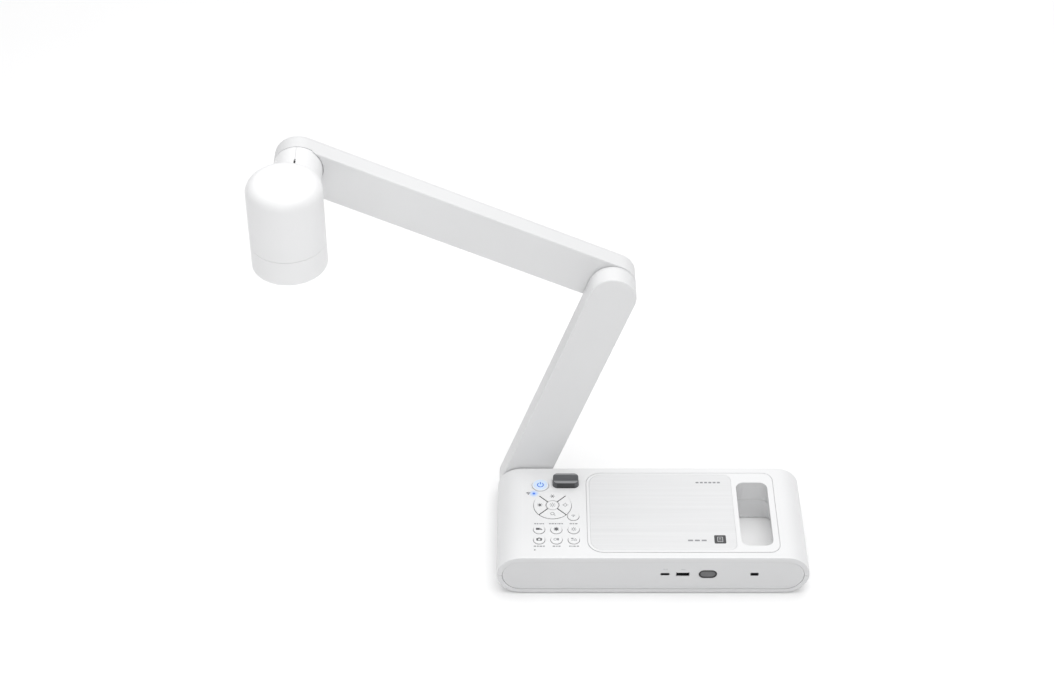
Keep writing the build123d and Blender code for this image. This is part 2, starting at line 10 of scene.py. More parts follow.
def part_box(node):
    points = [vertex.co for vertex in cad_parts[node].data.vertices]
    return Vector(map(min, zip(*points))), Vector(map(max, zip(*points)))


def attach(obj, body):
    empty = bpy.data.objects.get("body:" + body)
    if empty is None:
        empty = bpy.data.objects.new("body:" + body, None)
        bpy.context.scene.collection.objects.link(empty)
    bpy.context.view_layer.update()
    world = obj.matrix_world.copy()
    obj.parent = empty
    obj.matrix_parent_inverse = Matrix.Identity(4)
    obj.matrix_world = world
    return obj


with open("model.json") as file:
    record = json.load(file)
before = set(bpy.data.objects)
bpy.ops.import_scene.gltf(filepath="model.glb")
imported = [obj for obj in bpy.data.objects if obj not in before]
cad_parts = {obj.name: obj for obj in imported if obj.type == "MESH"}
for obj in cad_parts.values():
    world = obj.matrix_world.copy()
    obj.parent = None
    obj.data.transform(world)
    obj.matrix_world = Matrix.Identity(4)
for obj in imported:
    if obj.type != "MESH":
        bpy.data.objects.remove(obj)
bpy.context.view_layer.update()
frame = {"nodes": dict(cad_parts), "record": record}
N = frame["nodes"]
R = math.radians


# ------------------------------------------------------------------ materials
class Graph:
    """A small helper round one node tree."""

    def __init__(self, name):
        self.m = bpy.data.materials.new(name)
        self.m.use_nodes = True
        self.t = self.m.node_tree
        self.t.nodes.clear()
        self.out = self.new("ShaderNodeOutputMaterial")
        self.b = self.new("ShaderNodeBsdfPrincipled")
        self.link(self.b.outputs[0], self.out.inputs["Surface"])
        self.co = self.new("ShaderNodeTexCoord").outputs["Object"]

    def new(self, kind, **props):
        n = self.t.nodes.new(kind)
        for k, v in props.items():
            setattr(n, k, v)
        return n

    def link(self, a, b):
        self.t.links.new(a, b)

    def mapped(self, scale, rot=(0, 0, 0), loc=(0, 0, 0)):
        n = self.new("ShaderNodeMapping")
        n.inputs["Scale"].default_value = scale
        n.inputs["Rotation"].default_value = rot
        n.inputs["Location"].default_value = loc
        self.link(self.co, n.inputs["Vector"])
        return n.outputs[0]

    def noise(self, scale, detail=2.0, rough=0.5, vec=None, distortion=0.0):
        n = self.new("ShaderNodeTexNoise")
        n.inputs["Scale"].default_value = scale
        n.inputs["Detail"].default_value = detail
        n.inputs["Roughness"].default_value = rough
        n.inputs["Distortion"].default_value = distortion
        self.link(vec if vec is not None else self.co, n.inputs["Vector"])
        return n.outputs["Fac"]

    def cells(self, scale, vec=None, feature="F1", output="Distance"):
        n = self.new("ShaderNodeTexVoronoi", feature=feature)
        n.inputs["Scale"].default_value = scale
        self.link(vec if vec is not None else self.co, n.inputs["Vector"])
        return n.outputs[output]

    def ramp(self, fac, stops):
        n = self.new("ShaderNodeValToRGB")
        el = n.color_ramp.elements
        while len(el) < len(stops):
            el.new(0.5)
        for e, (p, c) in zip(el, stops):
            e.position = p
            e.color = (*c, 1.0) if len(c) == 3 else c
        self.link(fac, n.inputs["Fac"])
        return n.outputs["Color"]

    def rng(self, fac, a, b, lo=0.3, hi=0.7):
        n = self.new("ShaderNodeMapRange")
        n.inputs["From Min"].default_value = lo
        n.inputs["From Max"].default_value = hi
        n.inputs["To Min"].default_value = a
        n.inputs["To Max"].default_value = b
        self.link(fac, n.inputs["Value"])
        return n.outputs["Result"]

    def math(self, op, a, b):
        n = self.new("ShaderNodeMath", operation=op)
        for i, v in enumerate((a, b)):
            if hasattr(v, "links"):
                self.link(v, n.inputs[i])
            else:
                n.inputs[i].default_value = v
        return n.outputs[0]

    def mix(self, fac, a, b, mode="MIX"):
        n = self.new("ShaderNodeMixRGB", blend_type=mode)
        for i, v in enumerate((fac, a, b)):
            if hasattr(v, "links"):
                self.link(v, n.inputs[i])
            elif i == 0:
                n.inputs[0].default_value = v
            else:
                n.inputs[i].default_value = (*v, 1.0) if len(v) == 3 else v
        return n.outputs[0]

    def bump(self, height, strength, distance):
        n = self.new("ShaderNodeBump")
        n.inputs["Strength"].default_value = strength
        n.inputs["Distance"].default_value = distance
        self.link(height, n.inputs["Height"])
        prev = getattr(self, "_normal", None)
        if prev is not None:
            self.link(prev, n.inputs["Normal"])
        self._normal = n.outputs[0]
        return n.outputs[0]

    def finish(self, color, rough, **fixed):
        self.link(color, self.b.inputs["Base Color"])
        self.link(rough, self.b.inputs["Roughness"])
        if getattr(self, "_normal", None) is not None:
            self.link(self._normal, self.b.inputs["Normal"])
        for k, v in fixed.items():
            self.b.inputs[k.replace("_", " ")].default_value = v
        return self.m


def tones(c, d):
    return [tuple(max(0.0, x * (1 - d)) for x in c), c, tuple(min(1.0, x * (1 + d)) for x in c)]


def inside(g, lo, hi):
    """1 inside a box in the part's own frame, 0 outside."""
    sep = g.new("ShaderNodeSeparateXYZ")
    g.link(g.co, sep.inputs[0])
    out = None
    for i, (a, b) in enumerate(zip(lo, hi)):
        for op, v in (("GREATER_THAN", a), ("LESS_THAN", b)):
            if v is None:
                continue
            t = g.math(op, sep.outputs[i], v)
            out = t if out is None else g.math("MULTIPLY", out, t)
    return out


def plastic(name, c, rough=0.42, spread=0.05, vary=0.02, grain=900.0, depth=0.00002, strength=0.18, shade=(), painted_lamp_glow=None, **fixed):
    """Moulded plastic: cloudy tone, a fine spark-eroded grain, slow waviness, uneven gloss, with optional boxes of
    painted shade or painted highlight and an optional painted pool of lamp light.
    """
    g = Graph(name)
    a, b, d = tones(c, vary)
    cloud = g.noise(9.0, 3.0, 0.55)
    fine = g.noise(grain, 2.0, 0.6)
    speck = g.cells(grain * 1.3)
    base = g.ramp(cloud, [(0.30, a), (0.5, b), (0.72, d)])
    base = g.mix(g.rng(fine, 0.0, 0.5), base, a)
    # painted shade and painted highlight: a flat colour inside each box
    for lo, hi, dark in shade:
        base = g.mix(inside(g, lo, hi), base, dark)
    # painted light: a blue pool of lamp light fading out from a point on the surface
    if painted_lamp_glow is not None:
        (sx, sy), s0, s1, tint = painted_lamp_glow
        dist = g.new("ShaderNodeVectorMath", operation="DISTANCE")
        g.link(g.mapped((1, 1, 0)), dist.inputs[0])
        dist.inputs[1].default_value = (sx, sy, 0)
        base = g.mix(g.rng(dist.outputs["Value"], 1.0, 0.0, s0, s1), base, tint)
    r = g.math("ADD", g.rng(cloud, rough - spread, rough + spread), g.rng(fine, -spread * 0.6, spread * 0.6))
    g.bump(g.noise(26.0, 1.0), 0.05, 0.0002)
    g.bump(speck, strength * 0.5, depth)
    g.bump(fine, strength, depth)
    return g.finish(base, r, **fixed)


def metal(name, c, rough=0.3, along=(900.0, 900.0, 30.0), vary=0.06, strength=0.25, **fixed):
    """Turned or brushed metal: fine directional lines and a cloudy stain."""
    g = Graph(name)
    a, b, d = tones(c, vary)
    lines = g.noise(1.0, 4.0, 0.7, g.mapped(along))
    cloud = g.noise(40.0, 3.0)
    base = g.ramp(lines, [(0.25, a), (0.5, b), (0.75, d)])
    base = g.mix(g.rng(cloud, 0.0, 0.35), base, a)
    r = g.math("ADD", g.rng(lines, rough - 0.07, rough + 0.07), g.rng(cloud, -0.05, 0.06))
    g.bump(lines, strength, 0.00002)
    return g.finish(base, r, Metallic=1.0, **fixed)


def rubber_mat(name, c):
    g = Graph(name)
    a, b, d = tones(c, 0.25)
    fine = g.noise(2200.0, 3.0, 0.7)
    dust = g.noise(120.0, 4.0, 0.65)
    base = g.ramp(dust, [(0.35, a), (0.55, b), (0.8, d)])
    g.bump(fine, 0.35, 0.00004)
    return g.finish(base, g.rng(fine, 0.72, 0.92))


def board_mat(name):
    """Circuit board: solder mask over copper lanes on a grid, with bright pads."""
    g = Graph(name)
    lane = g.new("ShaderNodeTexBrick")
    lane.inputs["Scale"].default_value = 160.0
    lane.inputs["Mortar Size"].default_value = 0.06
    lane.inputs["Color1"].default_value = (0.012, 0.10, 0.045, 1)
    lane.inputs["Color2"].default_value = (0.018, 0.14, 0.065, 1)
    lane.inputs["Mortar"].default_value = (0.03, 0.20, 0.10, 1)
    g.link(g.co, lane.inputs["Vector"])
    pads = g.cells(260.0)
    base = g.mix(g.rng(pads, 1.0, 0.0, 0.05, 0.12), lane.outputs["Color"], (0.72, 0.60, 0.30))
    g.bump(lane.outputs["Fac"], 0.3, 0.00003)
    return g.finish(base, g.rng(pads, 0.28, 0.5, 0.0, 0.6))


def brushed_sheet_mat(name, c):
    """Pale metal sheet: hair lines along X, broader bands across them, clear lacquer."""
    g = Graph(name)
    hair = g.noise(1.0, 3.0, 0.65, g.mapped((9.0, 2600.0, 1.0)))
    band = g.noise(1.0, 2.0, 0.55, g.mapped((3.0, 260.0, 1.0)))
    broad = g.noise(1.0, 1.0, 0.5, g.mapped((1.5, 60.0, 1.0)))
    a, b, d = tones(c, 0.05)
    base = g.ramp(band, [(0.30, a), (0.5, b), (0.70, d)])
    base = g.mix(g.rng(hair, 0.0, 0.7), base, tones(c, 0.12)[0])
    base = g.mix(g.rng(broad, 0.0, 0.5), base, a)
    r = g.math("ADD", g.rng(hair, 0.34, 0.46), g.rng(band, -0.03, 0.04))
    g.bump(band, 0.10, 0.00003)
    g.bump(hair, 0.22, 0.00002)
    return g.finish(base, r, Metallic=0.12, Coat_Weight=0.10, Coat_Roughness=0.3)


def glow_mat(name, c, centre, r_in, r_out, white, strength):
    """Plastic lit from below: colour strongest at centre, fading outwards."""
    g = Graph(name)
    sub = g.new("ShaderNodeVectorMath", operation="DISTANCE")
    flat = g.mapped((1, 1, 0))
    g.link(flat, sub.inputs[0])
    sub.inputs[1].default_value = (centre[0], centre[1], 0)
    cloud = g.noise(400.0, 2.0)
    d = g.math("ADD", sub.outputs["Value"], g.rng(cloud, -0.0003, 0.0003))
    fac = g.rng(d, 1.0, 0.0, r_in, r_out)
    base = g.mix(fac, white, c)
    g.link(base, g.b.inputs["Emission Color"])
    g.link(g.math("MULTIPLY", fac, strength), g.b.inputs["Emission Strength"])
    g.bump(g.noise(1500.0, 2.0), 0.12, 0.00002)
    return g.finish(base, g.rng(cloud, 0.28, 0.40))


def glass_mat(name, c, rough, cell=500.0, transmission=0.9, tint=(0.5, 0.6, 0.9), **fixed):
    g = Graph(name)
    smear = g.noise(180.0, 3.0, 0.6)
    fres = g.new("ShaderNodeLayerWeight")
    fres.inputs["Blend"].default_value = 0.35
    base = g.mix(g.rng(fres.outputs["Facing"], 0.0, 0.6, 0.0, 1.0), c, tint)
    g.bump(g.noise(cell, 2.0), 0.03, 0.00002)
    return g.finish(base, g.rng(smear, rough * 0.6, rough * 1.5 + 0.01), Transmission_Weight=transmission, IOR=1.5, **fixed)


WHITE = (0.775, 0.778, 0.782)
kb0, kb1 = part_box("keypad_membrane")
top_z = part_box("base_upper_casing")[1].z
led0, led1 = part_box("status_lamp")
led = ((led0.x + led1.x) / 2, (led0.y + led1.y) / 2)
front_y, rear_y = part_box("base_upper_casing")[0].y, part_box("base_upper_casing")[1].y
# colour of painted shade for the key holes and key sides
SHADE = (0.10, 0.102, 0.108)
rk0, rk1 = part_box("release_key")
# box over the key holes below the casing top, filled with painted shade
keypad_gap_painted_shade_box = ((kb0.x, kb0.y, top_z - 0.0030), (kb1.x, kb1.y, top_z - 0.00025))
M = {
    "white_shell": plastic("moulded_white", WHITE, 0.40),
    # casing top: painted pool of blue light from the status lamp, on the white plastic round it
    # casing top: painted shade on the front and rear rim faces, darker where those sides fall into shade
    "white_top": plastic("moulded_white_top", WHITE, 0.40, shade=[(*keypad_gap_painted_shade_box, SHADE), ((None, None, None), (None, front_y + 0.0006, None), (0.66, 0.663, 0.668)), ((None, rear_y - 0.0006, None), (None, None, None), (0.66, 0.663, 0.668))], painted_lamp_glow=(led, 0.0012, 0.0052, (0.40, 0.58, 0.95))),
    # casing bottom: painted shade on the front and rear rim faces
    "white_low": plastic("moulded_white_low", WHITE, 0.40, shade=[((None, None, None), (None, front_y + 0.0006, None), (0.66, 0.663, 0.668)), ((None, rear_y - 0.0006, None), (None, None, None), (0.66, 0.663, 0.668))]),
    # front and rear end plates: a darker white as painted shade for their outward-facing sides
    "white_end": plastic("moulded_white_end_painted_shade", (0.645, 0.648, 0.653), 0.46, grain=1100.0),
    "white_head": plastic("moulded_white_head", (0.85, 0.852, 0.856), 0.36),
    "white_plate": plastic("moulded_white_plate", (0.745, 0.748, 0.752), 0.46, grain=1100.0),
    "brushed_white": brushed_sheet_mat("brushed_pale_sheet", (0.76, 0.763, 0.768)),
    # white keys: painted shade on their sides below the casing top, where they sit in the key gaps
    "key_white": plastic("key_white", (0.79, 0.793, 0.797), 0.30, grain=1500.0, strength=0.10, shade=[((None, None, None), (None, None, top_z + 0.00005), SHADE)], Coat_Weight=0.15, Coat_Roughness=0.2),
    "key_grey": plastic("key_dark_grey", (0.085, 0.088, 0.094), 0.42, vary=0.12, grain=1300.0, strength=0.22),
    # release key: painted highlight on its top ridge and painted shade on its front wall
    "release_grey": plastic("release_key_grey_painted_light", (0.085, 0.088, 0.094), 0.36, vary=0.12, grain=1300.0, strength=0.2, shade=[((None, None, rk1.z - 0.00018), (None, None, None), (0.26, 0.264, 0.272)), ((None, None, None), (None, rk0.y + 0.0007, None), (0.036, 0.037, 0.040))]),
    "rubber": rubber_mat("foot_rubber", (0.03, 0.03, 0.032)),
    "steel": metal("turned_steel", (0.56, 0.57, 0.59), 0.26),
    "zinc": metal("zinc_plate", (0.60, 0.61, 0.60), 0.36, (260.0, 260.0, 260.0), 0.10),
    "aluminium": metal("milled_aluminium", (0.74, 0.75, 0.77), 0.34, (500.0, 60.0, 500.0), 0.05),
    "brass": metal("sintered_bronze", (0.66, 0.48, 0.22), 0.42, (700.0, 700.0, 700.0), 0.10),
    "pcb": board_mat("circuit_board"),
    "silicone": plastic("keypad_silicone", (0.62, 0.63, 0.64), 0.6, Subsurface_Weight=0.1),
    "connector_metal": metal("plated_shell", (0.62, 0.62, 0.63), 0.22, (300.0, 1400.0, 300.0), 0.05),
    "smoked": plastic("smoked_window", (0.085, 0.086, 0.090), 0.12, grain=400.0, vary=0.1, strength=0.03, Coat_Weight=0.5, Coat_Roughness=0.08),
    "bezel_grey": plastic("bezel_grey", (0.012, 0.012, 0.013), 0.42, vary=0.1),
    "lens_face": plastic("face_black", (0.016, 0.016, 0.018), 0.20, vary=0.2, grain=500.0, strength=0.04, Coat_Weight=0.6, Coat_Roughness=0.06),
    "barrel_black": metal("black_anodised", (0.03, 0.03, 0.034), 0.38, (60.0, 60.0, 1800.0), 0.2),
    "glass": glass_mat("coated_cover_glass", (0.86, 0.90, 0.93), 0.03),
    "lamp_clear": glass_mat("frosted_lamp_cover", (0.95, 0.955, 0.96), 0.32, 900.0, 0.75, (0.9, 0.95, 1.0)),
}
pb0, pb1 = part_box("power_button")
pc = (pb0 + pb1) / 2
lb0, lb1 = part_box("status_lamp")
lc = (lb0 + lb1) / 2
BLUE = (0.07, 0.28, 0.86)
M["light_ring"] = glow_mat("light_ring_blue", (0.50, 0.68, 0.93), (pc.x, pc.y), 0.0045, 0.0090, (0.70, 0.80, 0.94), 0.05)
M["lamp_blue"] = glow_mat("status_lamp_blue", (0.04, 0.16, 0.72), (lc.x, lc.y), 0.0008, 0.0030, (0.25, 0.45, 0.90), 0.12)
M["power_cap"] = glow_mat("power_cap_lit", (0.52, 0.70, 0.95), (pc.x, pc.y), 0.0022, 0.0074, (0.78, 0.80, 0.83), 0.06)
# USB-C port and lock slot insert: dark colour as painted shade inside their recessed mouths
M["port_dark"] = metal("port_metal_painted_shade", (0.10, 0.10, 0.105), 0.35, (300.0, 1400.0, 300.0), 0.1)
M["ink"] = plastic("printed_ink", (0.11, 0.112, 0.118), 0.5, vary=0.2)
M["ink_soft"] = plastic("printed_ink_soft", (0.27, 0.275, 0.285), 0.5, vary=0.15)
M["ink_pale"] = plastic("printed_ink_pale", (0.46, 0.465, 0.475), 0.5, vary=0.1)
M["ink_blue"] = glow_mat("power_symbol_blue", (0.03, 0.13, 0.62), (pc.x, pc.y), 0.004, 0.012, (0.10, 0.30, 0.80), 0.06)
M["badge"] = plastic("badge_dark", (0.05, 0.051, 0.054), 0.35, vary=0.1, Coat_Weight=0.3, Coat_Roughness=0.15)
M["led_phosphor"] = plastic("lamp_phosphor", (0.85, 0.66, 0.12), 0.35, vary=0.15)
M["label"] = plastic("label_silver", (0.60, 0.61, 0.62), 0.34, vary=0.04, grain=500.0)
M["dark_gap"] = plastic("gap_shadow", (0.05, 0.05, 0.052), 0.6, vary=0.2)

slot_of = {p["node"]: p["material_slot"] for p in frame["record"]["subparts"]}
for name, o in N.items():
    key = {"power_button": "power_cap", "release_key": "release_grey", "base_upper_casing": "white_top", "base_lower_casing": "white_low", "front_plate": "white_end", "rear_plate": "white_end", "usb_c_port": "port_dark", "lock_slot_insert": "port_dark"}.get(name, slot_of[name])
    if name.startswith(("head_", "neck_")) and key == "white_shell":
        key = "white_head"
    o.data.materials.clear()
    o.data.materials.append(M[key])


# ------------------------------------------------------------------ shapes
def circle(cx, cy, r, n=40):
    return [(cx + r * math.cos(2 * math.pi * i / n), cy + r * math.sin(2 * math.pi * i / n)) for i in range(n)]


def ring(cx, cy, r0, r1, n=40):
    return [circle(cx, cy, r1, n), circle(cx, cy, r0, n)]


def arc_band(cx, cy, r0, r1, a0, a1, n=20):
    out = [(cx + r1 * math.cos(a0 + (a1 - a0) * i / n), cy + r1 * math.sin(a0 + (a1 - a0) * i / n)) for i in range(n + 1)]
    out += [(cx + r0 * math.cos(a1 + (a0 - a1) * i / n), cy + r0 * math.sin(a1 + (a0 - a1) * i / n)) for i in range(n + 1)]
    return out


def bar(x0, y0, x1, y1, w, ends=6):
    """A straight line with round ends."""
    a = math.atan2(y1 - y0, x1 - x0)
    out = []
    for cx, cy, s in ((x1, y1, -0.5), (x0, y0, 0.5)):
        for i in range(ends + 1):
            t = a + math.pi * (s + i / ends)
            out.append((cx + w / 2 * math.cos(t), cy + w / 2 * math.sin(t)))
    return out


def rrect(cx, cy, w, h, r, n=6):
    out = []
    for sx, sy, a in ((1, 1, 0), (-1, 1, 90), (-1, -1, 180), (1, -1, 270)):
        px, py = cx + sx * (w / 2 - r), cy + sy * (h / 2 - r)
        for i in range(n + 1):
            t = R(a + 90 * i / n)
            out.append((px + r * math.cos(t), py + r * math.sin(t)))
    return out


def poly(cx, cy, r, n, a0=90.0):
    return [(cx + r * math.cos(R(a0) + 2 * math.pi * i / n), cy + r * math.sin(R(a0) + 2 * math.pi * i / n)) for i in range(n)]


def sun(cx, cy, r, filled, rays=8, w=0.00022):
    out = [circle(cx, cy, r * 0.46, 28)] if filled else ring(cx, cy, r * 0.36, r * 0.52, 28)
    for i in range(rays):
        a = 2 * math.pi * i / rays
        out.append(bar(cx + r * 0.68 * math.cos(a), cy + r * 0.68 * math.sin(a), cx + r * math.cos(a), cy + r * math.sin(a), w, 4))
    return out


def rays(cx, cy, r0, r1, n, w, a0=0.0):
    """Short round-ended strokes between two radii, clear of what is inside r0."""
    out = []
    for i in range(n):
        a = a0 + 2 * math.pi * i / n
        out.append(bar(cx + (r0 + w / 2) * math.cos(a), cy + (r0 + w / 2) * math.sin(a), cx + (r1 - w / 2) * math.cos(a), cy + (r1 - w / 2) * math.sin(a), w, 4))
    return out


def decal(name, shapes, z, mat, body, up="z", thick=0.00003):
    """Printed mark: closed outlines, filled, a few hundredths of a millimetre thick. up=z lies flat; up=-y faces the front; up=-z faces down; up=y faces the rear."""
    cu = bpy.data.curves.new(name, "CURVE")
    cu.dimensions = "2D"
    cu.fill_mode = "BOTH"
    cu.extrude = thick / 2
    for pts in shapes:
        sp = cu.splines.new("POLY")
        sp.points.add(len(pts) - 1)
        for p, (x, y) in zip(sp.points, pts):
            p.co = (x, y, 0, 1)
        sp.use_cyclic_u = True
    tmp = bpy.data.objects.new(name + "_tmp", cu)
    bpy.context.scene.collection.objects.link(tmp)
    bpy.context.view_layer.update()
    me = bpy.data.meshes.new_from_object(tmp.evaluated_get(bpy.context.evaluated_depsgraph_get()))
    bpy.data.objects.remove(tmp)
    bpy.data.curves.remove(cu)
    bm = bmesh.new()
    bm.from_mesh(me)
    bmesh.ops.remove_doubles(bm, verts=bm.verts, dist=1e-7)
    for v in bm.verts:
        x, y, h = v.co
        if up == "z":
            v.co = (x, y, z + h + thick / 2)
        elif up == "-z":
            v.co = (x, y, z - h - thick / 2)
        elif up == "-y":
            v.co = (x, z - h - thick / 2, y)
        else:
            v.co = (x, z + h + thick / 2, y)
    bmesh.ops.recalc_face_normals(bm, faces=bm.faces)
    bm.to_mesh(me)
    bm.free()
    me.name = name
    me.materials.clear()
    me.materials.append(mat)
    o = bpy.data.objects.new(name, me)
    bpy.context.scene.collection.objects.link(o)
    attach(o, body)
    return o


def lathe(name, profile, centre, mat, body, n=64, axis="z", smooth=True):
    """A turned piece: profile is (radius, height) pairs from the axis outwards and back."""
    bm = bmesh.new()
    rows = []
    for r, h in profile:
        if r < 1e-7:
            rows.append([bm.verts.new((0, 0, h))])
        else:
            rows.append([bm.verts.new((r * math.cos(2 * math.pi * i / n), r * math.sin(2 * math.pi * i / n), h)) for i in range(n)])
    for a, b in zip(rows, rows[1:]):
        for i in range(n):
            j = (i + 1) % n
            q = [a[i % len(a)], a[j % len(a)], b[j % len(b)], b[i % len(b)]]
            q = [v for k, v in enumerate(q) if v not in q[:k]]
            if len(q) > 2:
                bm.faces.new(q)
    bmesh.ops.recalc_face_normals(bm, faces=bm.faces)
    if axis == "y":
        bmesh.ops.rotate(bm, verts=bm.verts, cent=(0, 0, 0), matrix=Matrix.Rotation(R(90), 3, "X"))
    bmesh.ops.translate(bm, verts=bm.verts, vec=centre)
    me = bpy.data.meshes.new(name)
    bm.to_mesh(me)
    bm.free()
    me.polygons.foreach_set("use_smooth", [smooth] * len(me.polygons))
    if smooth:
        me.set_sharp_from_angle(angle=R(35))
    me.materials.append(mat)
    o = bpy.data.objects.new(name, me)
    bpy.context.scene.collection.objects.link(o)
    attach(o, body)
    return o


def top_of(node):
    a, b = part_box(node)
    return (a.x + b.x) / 2, (a.y + b.y) / 2, b.z


# ------------------------------------------------------------------ key symbols
mm = 0.001
T = 0.00004
x, y, z = top_of("power_button")
decal("power_symbol", [arc_band(x, y - 0.2 * mm, 2.45 * mm, 3.35 * mm, R(126), R(414), 40), bar(x, y + 0.9 * mm, x, y + 3.5 * mm, 0.85 * mm)], z, M["ink_blue"], "power_button", thick=T)

base0, base1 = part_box("base_upper_casing")
zt = base1.z
ok_x, ok_y, kz = top_of("ok_button")
decal("ok_symbol", sun(ok_x, ok_y, 3.0 * mm, False, 8, 0.42 * mm), kz, M["ink_soft"], "ok_button", thick=T)
decal("nav_up_symbol", sun(ok_x, ok_y + 12.2 * mm, 2.3 * mm, True, 6, 0.55 * mm), kz, M["ink"], "nav_up_key", thick=T)
decal("nav_left_symbol", [circle(ok_x - 12.4 * mm, ok_y, 1.45 * mm)] + rays(ok_x - 12.4 * mm, ok_y, 1.75 * mm, 2.75 * mm, 8, 0.5 * mm), kz, M["ink"], "nav_left_key", thick=T)
nr = (ok_x + 12.4 * mm, ok_y)
decal("nav_right_symbol", ring(nr[0], nr[1], 1.3 * mm, 1.9 * mm) + [bar(nr[0] - 2.3 * mm, nr[1], nr[0] - 2.9 * mm, nr[1], 0.5 * mm), bar(nr[0] + 2.3 * mm, nr[1], nr[0] + 2.9 * mm, nr[1], 0.5 * mm), bar(nr[0], nr[1] + 2.3 * mm, nr[0], nr[1] + 2.8 * mm, 0.5 * mm), bar(nr[0], nr[1] - 2.3 * mm, nr[0], nr[1] - 2.8 * mm, 0.5 * mm)], kz, M["ink_soft"], "nav_right_key", thick=T)
nd = (ok_x - 0.2 * mm, ok_y - 12.0 * mm)
decal("nav_down_symbol", ring(nd[0], nd[1], 1.4 * mm, 2.0 * mm) + [bar(nd[0] + 1.9 * mm, nd[1] - 1.8 * mm, nd[0] + 2.6 * mm, nd[1] - 2.5 * mm, 0.7 * mm)], kz, M["ink_soft"], "nav_down_key", thick=T)

x, y, z = top_of("menu_button")
decal("menu_symbol", [arc_band(x, y - 1.2 * mm, 2.3 * mm, 2.9 * mm, R(44), R(136), 14), arc_band(x, y - 1.2 * mm, 1.2 * mm, 1.8 * mm, R(44), R(136), 12), circle(x, y - 0.8 * mm, 0.55 * mm, 16)], z, M["ink_soft"], "menu_button", thick=T)
x, y, z = top_of("button_upper_left")
decal("source_symbol", [rrect(x - 1.2 * mm, y + 0.4 * mm, 3.8 * mm, 2.8 * mm, 0.3 * mm), [(x + 1.1 * mm, y - 1.0 * mm), (x + 3.4 * mm, y - 1.0 * mm), (x + 1.1 * mm, y + 1.7 * mm)]], z, M["ink"], "button_upper_left", thick=T)
x, y, z = top_of("button_upper_middle")
decal("freeze_symbol", [circle(x, y + 0.2 * mm, 1.95 * mm, 28)] + rays(x, y + 0.2 * mm, 2.05 * mm, 2.75 * mm, 8, 0.7 * mm), z, M["ink"], "button_upper_middle", thick=T)
x, y, z = top_of("button_upper_right")
decal("settings_symbol", ring(x, y + 0.1 * mm, 0.95 * mm, 1.65 * mm, 30) + rays(x, y + 0.1 * mm, 1.85 * mm, 2.75 * mm, 8, 0.6 * mm), z, M["ink_soft"], "button_upper_right", thick=T)
x, y, z = top_of("button_lower_left")
decal("capture_symbol", [rrect(x, y, 5.6 * mm, 3.5 * mm, 0.8 * mm), circle(x, y - 0.1 * mm, 1.1 * mm, 28), rrect(x, y + 2.1 * mm, 2.2 * mm, 0.5 * mm, 0.2 * mm)], z, M["ink"], "button_lower_left", thick=T)
x, y, z = top_of("button_lower_middle")
decal("record_symbol", ring(x - 1.2 * mm, y + 0.1 * mm, 1.1 * mm, 1.65 * mm, 28) + [rrect(x + 1.5 * mm, y + 0.1 * mm, 1.8 * mm, 3.0 * mm, 0.25 * mm)], z, M["ink_soft"], "button_lower_middle", thick=T)
x, y, z = top_of("button_lower_right")
decal("swap_symbol", [rrect(x - 1.5 * mm, y + 1.1 * mm, 2.3 * mm, 1.7 * mm, 0.25 * mm), rrect(x + 1.3 * mm, y - 1.0 * mm, 2.9 * mm, 2.2 * mm, 0.3 * mm), rrect(x + 1.3 * mm, y - 1.0 * mm, 1.9 * mm, 1.2 * mm, 0.15 * mm), bar(x + 0.7 * mm, y + 1.6 * mm, x + 2.1 * mm, y + 0.8 * mm, 0.5 * mm), bar(x - 2.3 * mm, y - 1.7 * mm, x - 0.9 * mm, y - 0.9 * mm, 0.5 * mm)], z, M["ink_soft"], "button_lower_right", thick=T)


# ------------------------------------------------------------------ printed marks on the top
def marks_row(cx, cy, w, h, widths, gap):
    """A line of plain dashes, as long as a printed line but with no letters."""
    total = sum(widths) + gap * (len(widths) - 1)
    k = w / total
    out, px = [], cx - w / 2
    for u in widths:
        out.append(rrect(px + u * k / 2, cy, u * k, h, min(h, u * k) * 0.3, 3))
        px += (u + gap) * k
    return out


cols = [top_of("button_lower_left")[0], top_of("button_lower_middle")[0], top_of("button_lower_right")[0]]
row_up = top_of("button_upper_left")[1] + 8.3 * mm
row_dn = top_of("button_lower_left")[1] - 8.3 * mm
printed = []
printed += marks_row(cols[0], row_up, 9.4 * mm, 1.45 * mm, [1.2, 1.0, 0.5, 1.1, 1.0], 0.35)
printed += marks_row(cols[1] - 0.2 * mm, row_up, 13.6 * mm, 1.45 * mm, [1.0, 1.4, 1.0, 0.4, 1.3, 1.0], 0.35)
printed += marks_row(cols[2], row_up, 7.6 * mm, 1.45 * mm, [1.2, 0.8, 1.2], 0.35)
printed += marks_row(cols[0], row_dn, 10.6 * mm, 1.45 * mm, [1.3, 1.0, 1.5, 0.9], 0.3)
printed += marks_row(cols[1], row_dn, 7.6 * mm, 1.45 * mm, [1.4, 0.8, 1.1], 0.3)
printed += marks_row(cols[2], row_dn, 9.6 * mm, 1.45 * mm, [0.8, 0.5, 1.2, 1.1], 0.3)
decal("key_captions", printed, zt, M["ink_soft"], "base", thick=T)
wx, wy = lc.x - 5.5 * mm, lc.y + 0.1 * mm
decal("link_symbol", [arc_band(wx, wy - 1.5 * mm, 2.7 * mm, 3.4 * mm, R(46), R(134), 14), arc_band(wx, wy - 1.5 * mm, 1.5 * mm, 2.2 * mm, R(46), R(134), 12), circle(wx, wy - 1.0 * mm, 0.65 * mm, 16)], zt, M["ink"], "base", thick=T)

